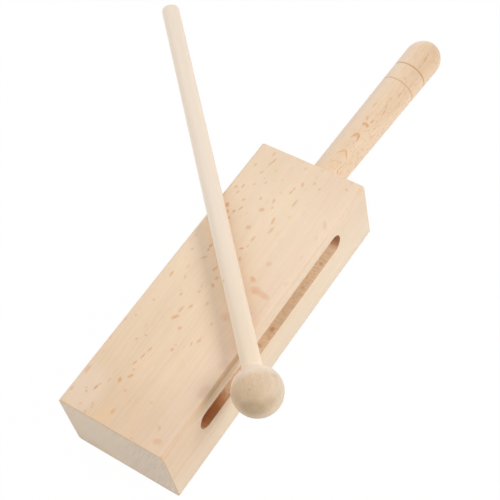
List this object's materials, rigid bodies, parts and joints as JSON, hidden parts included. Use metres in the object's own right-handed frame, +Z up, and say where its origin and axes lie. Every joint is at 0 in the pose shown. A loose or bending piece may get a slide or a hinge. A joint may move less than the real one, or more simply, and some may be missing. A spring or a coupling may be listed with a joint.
{
  "type": "wood block",
  "caption": "Hand-held rectangular beech wood block with a long round-ended sound slot in one side, a turned handle in one end, and a loose ball-headed beater lying across it.",
  "frame": {"origin": "middle of the block's flat underside", "axes": "+Y along the block towards its handle, +X across it towards the side with the slot, +Z up"},
  "size_m": [0.1974, 0.2893, 0.0581],
  "materials": {
    "block_wood": "planed and sanded bare beech",
    "handle_wood": "turned and sanded bare beech",
    "stick_wood": "bare pale dowel",
    "ball_wood": "turned bare wood"
  },
  "bodies": {
    "block": {"sound_block": "block_wood", "handle": "handle_wood"},
    "beater": {"beater_stick": "stick_wood", "beater_head": "ball_wood"}
  },
  "joints": [
    {"name": "beater_lift", "type": "slide", "parent": "block", "child": "beater", "axis": [0, 0, 1], "range_m": [0, 0.12]}
  ]
}
